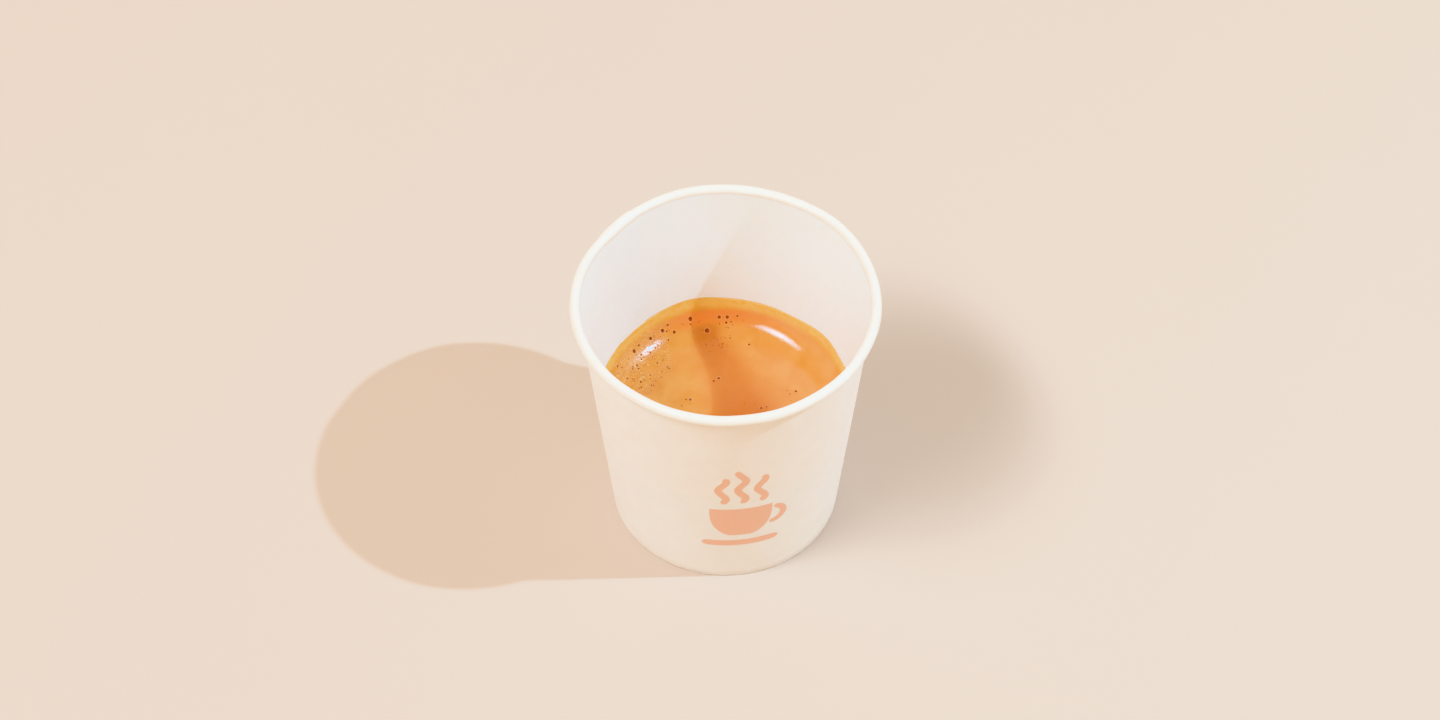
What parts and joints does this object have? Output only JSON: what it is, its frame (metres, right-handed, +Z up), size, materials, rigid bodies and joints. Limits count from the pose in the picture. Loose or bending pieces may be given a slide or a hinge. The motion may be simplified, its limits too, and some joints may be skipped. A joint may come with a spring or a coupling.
{
  "type": "espresso shot in a paper cup",
  "caption": "Small tapered single-wall paper cup with a rolled rim and raised base, part filled with espresso under a golden crema that climbs the wall.",
  "frame": {"origin": "centre of the foot ring, on the table", "axes": "+Z up along the cup's axis, -Y towards the side that faces the viewer, +X to the viewer's right"},
  "size_m": [0.062, 0.062, 0.0615],
  "materials": {
    "coated_paperboard": "cream white food-grade paperboard with a thin satin coating",
    "base_paperboard": "cream white paperboard, coated on the inside",
    "coffee": "dark brown liquid coffee",
    "crema": "golden orange coffee foam, wet and softly glossy, with pinhole bubbles"
  },
  "bodies": {
    "root": {"cup_wall": "coated_paperboard", "cup_base": "base_paperboard", "coffee": "coffee", "crema": "crema"}
  },
  "joints": []
}
